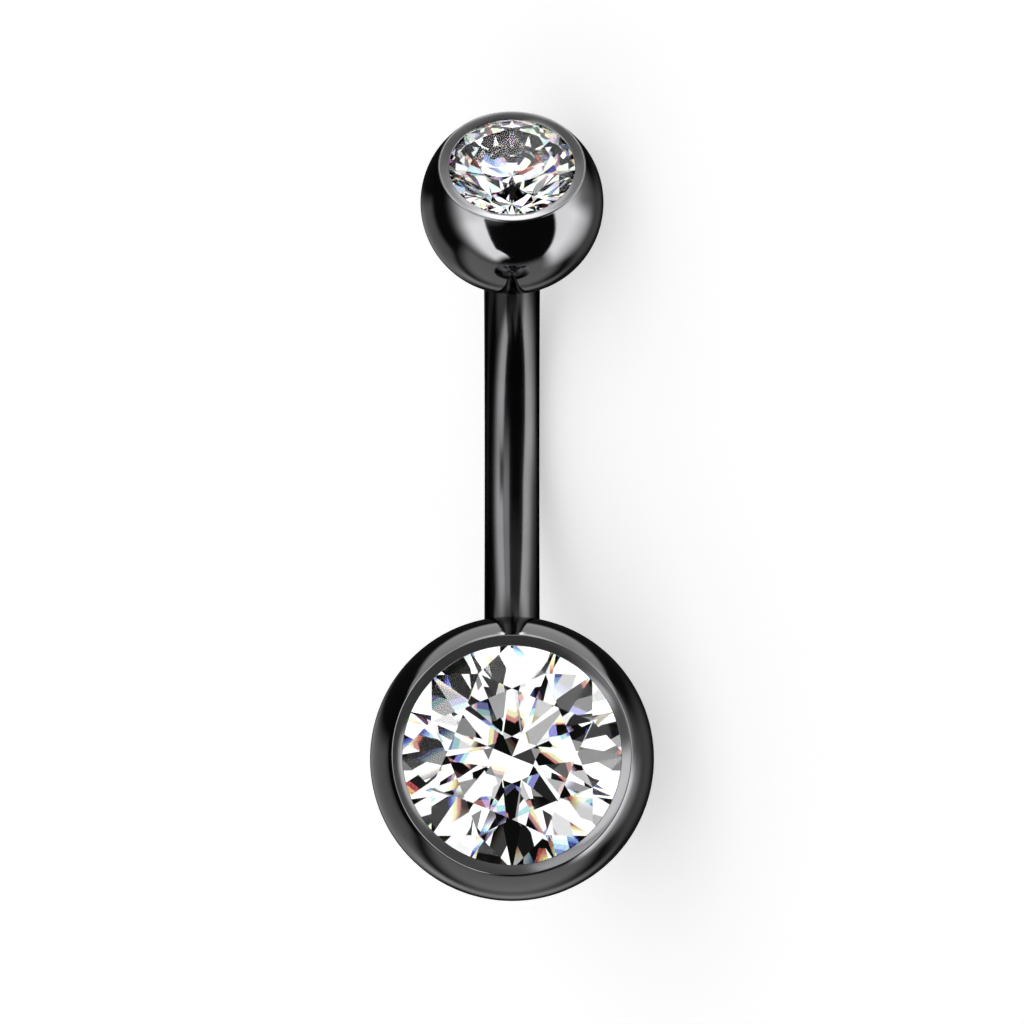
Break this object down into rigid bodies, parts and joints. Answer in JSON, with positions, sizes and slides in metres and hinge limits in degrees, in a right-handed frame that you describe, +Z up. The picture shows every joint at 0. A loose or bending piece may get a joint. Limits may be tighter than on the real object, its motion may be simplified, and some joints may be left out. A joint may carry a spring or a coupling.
{
  "type": "navel ring",
  "caption": "Curved navel barbell in black steel with a ball at each end, each ball set with a round brilliant-cut stone; the small ball screws off.",
  "frame": {"origin": "the table, under the middle of the ring's footprint as it lies on its two balls and the back of its bar", "axes": "+X along the table from the lower ball towards the upper ball, +Z up, and the stones' sides towards -Y"},
  "size_m": [0.022, 0.0088, 0.008],
  "materials": {
    "black_steel": "surgical steel with a mirror-polished black coating",
    "clear_stone": "colourless cut cubic zirconia"
  },
  "bodies": {
    "bar": {"barbell": "black_steel", "lower_stone": "clear_stone"},
    "top": {"upper_ball": "black_steel", "upper_stone": "clear_stone"}
  },
  "joints": [
    {"name": "upper_ball_unscrew", "type": "slide", "parent": "bar", "child": "top", "axis": [0.7328, -0.5901, 0.3389], "range_m": [0, 0.0025]}
  ]
}
